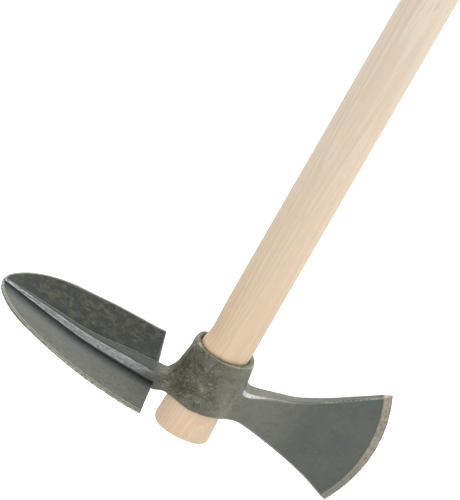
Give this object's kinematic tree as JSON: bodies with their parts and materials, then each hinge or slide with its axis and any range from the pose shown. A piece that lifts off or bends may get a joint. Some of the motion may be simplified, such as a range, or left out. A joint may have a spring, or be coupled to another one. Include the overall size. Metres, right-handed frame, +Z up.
{
  "type": "planting mattock",
  "caption": "Two-bladed planting mattock: a pointed, ribbed hoe blade and a flared axe blade on a conical eye, slipped over a round tapered ash handle.",
  "frame": {"origin": "on the floor, under the middle of the tool's box, with the tool lying as it comes to rest: on one corner of the hoe blade, on the axe edge and on the rim of the grip end", "axes": "+Z up; +Y along the handle from the head to the grip, as seen from above; +X across the handle, towards the axe edge, so that the hoe blade points to -X"},
  "size_m": [0.3259, 0.9538, 0.1428],
  "materials": {
    "forged_steel": "forged black scale, oiled, with bare ground cutting edges",
    "ash_wood": "turned and sanded, unvarnished"
  },
  "bodies": {
    "handle": {"handle": "ash_wood"},
    "head": {"head": "forged_steel"}
  },
  "joints": [
    {"name": "head_slide", "type": "slide", "parent": "handle", "child": "head", "axis": [0, 0.9994, -0.0354], "range_m": [0, 0.938]}
  ]
}
